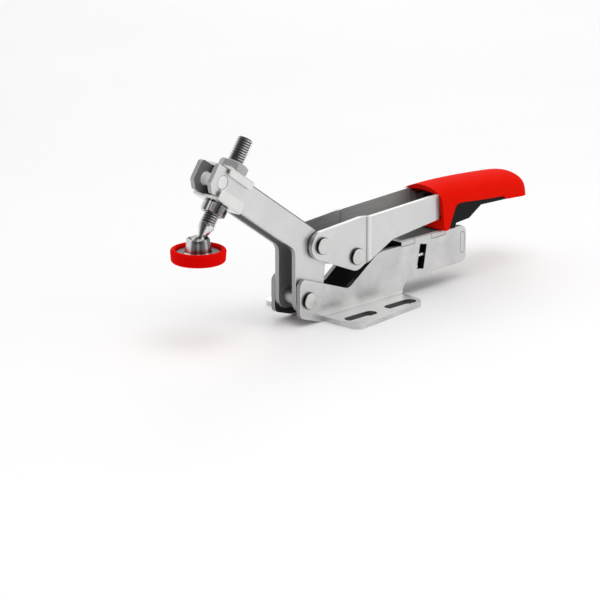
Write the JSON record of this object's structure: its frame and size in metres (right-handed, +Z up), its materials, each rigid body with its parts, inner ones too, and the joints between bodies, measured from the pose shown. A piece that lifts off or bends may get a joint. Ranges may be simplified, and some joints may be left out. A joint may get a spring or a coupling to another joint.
{
  "type": "horizontal toggle clamp",
  "caption": "Horizontal toggle clamp with slotted base flanges, a red grip, an adjustable threaded spindle and a swivelling pressure pad.",
  "frame": {"origin": "middle of the four slots of the base flanges, on the plane that the flanges stand on", "axes": "+X towards the end of the grip, the pad is on the -X side; +Y across the clamp; +Z up, away from the surface it is bolted to"},
  "size_m": [0.2404, 0.0656, 0.1],
  "materials": {
    "sheet_steel": "zinc-plated sheet, satin",
    "cover_steel": "zinc-plated sheet, satin",
    "plate_steel": "zinc-plated sheet, satin",
    "rivet_steel": "bright, turned and riveted over",
    "spring_steel": "drawn wire",
    "bush_steel": "turned, lightly oiled",
    "link_steel": "zinc-plated, darker",
    "lock_steel": "hardened, ground",
    "screw_steel": "black-oxidised",
    "saddle_steel": "zinc-plated, satin",
    "nut_plain": "zinc-plated, matt",
    "nut_bright": "zinc-plated, bright",
    "spindle_steel": "bright zinc-plated",
    "turned_steel": "turned, bright",
    "red_grip": "satin moulded plastic",
    "black_insert": "satin moulded plastic",
    "red_cap": "soft moulded rubber"
  },
  "bodies": {
    "base": {"base_side_left": "sheet_steel", "base_side_right": "sheet_steel", "cover_plate": "cover_steel", "rear_plate": "plate_steel", "arm_pivot_rivet": "rivet_steel", "lock_spring": "spring_steel"},
    "arm": {"arm_cheek_left": "sheet_steel", "arm_cheek_right": "sheet_steel", "nose_rivet": "rivet_steel", "arm_pivot_bush": "bush_steel", "handle_pivot_bush": "bush_steel"},
    "handle": {"handle_plate_left": "sheet_steel", "handle_plate_right": "sheet_steel", "handle_pivot_rivet": "rivet_steel", "pivot_washer_left": "bush_steel", "pivot_washer_right": "bush_steel", "link_pivot_rivet": "rivet_steel", "grip_shell": "red_grip", "grip_insert": "black_insert"},
    "link": {"link": "link_steel", "link_pin": "bush_steel"},
    "slider": {"slider": "link_steel", "slider_rod": "bush_steel"},
    "lock": {"lock_plate_front": "lock_steel", "lock_plate_rear": "lock_steel"},
    "screw": {"force_screw": "screw_steel"},
    "carriage": {"saddle_upper": "saddle_steel", "saddle_lower": "saddle_steel", "nut_upper": "nut_plain", "nut_lower": "nut_bright"},
    "spindle": {"spindle": "spindle_steel"},
    "pad": {"pad_socket": "turned_steel", "pad_cap": "red_cap"}
  },
  "joints": [
    {"name": "arm_swing", "type": "hinge", "parent": "base", "child": "arm", "pos_m": [-0.0383, 0, 0.0127], "axis": [0, 1, 0], "range_deg": [0, 40]},
    {"name": "handle_swing", "type": "hinge", "parent": "arm", "child": "handle", "pos_m": [-0.0292, 0, 0.0387], "axis": [0, -1, 0], "range_deg": [0, 98.61]},
    {"name": "link_swing", "type": "hinge", "parent": "handle", "child": "link", "pos_m": [-0.0047, 0, 0.0284], "axis": [0, 1, 0], "range_deg": [0, 99.44]},
    {"name": "slider_travel", "type": "slide", "parent": "base", "child": "slider", "axis": [-1, 0, 0], "range_m": [0, 0.01]},
    {"name": "lock_tilt", "type": "hinge", "parent": "base", "child": "lock", "pos_m": [0.04341, 0, 0.01933], "axis": [0, -1, 0], "range_deg": [0, 3], "stiffness_Nm_per_rad": 0.05, "springref_deg": -17.19},
    {"name": "screw_turn", "type": "hinge", "parent": "base", "child": "screw", "pos_m": [0.07, 0, 0.01972], "axis": [1, 0, 0], "continuous": true},
    {"name": "carriage_shift", "type": "slide", "parent": "arm", "child": "carriage", "axis": [0.8192, 0, -0.5736], "range_m": [0, 0.03]},
    {"name": "spindle_height", "type": "slide", "parent": "carriage", "child": "spindle", "axis": [0.5736, 0, 0.8192], "range_m": [-0.012, 0.005]},
    {"name": "pad_tilt", "type": "hinge", "parent": "spindle", "child": "pad", "pos_m": [-0.10342, 0, 0.05243], "axis": [0, 1, 0], "range_deg": [-2, 72]}
  ],
  "couplings": [
    {"joint": "handle_swing", "follows": "arm_swing", "ratio": 2.465},
    {"joint": "link_swing", "follows": "arm_swing", "ratio": 2.4858}
  ]
}
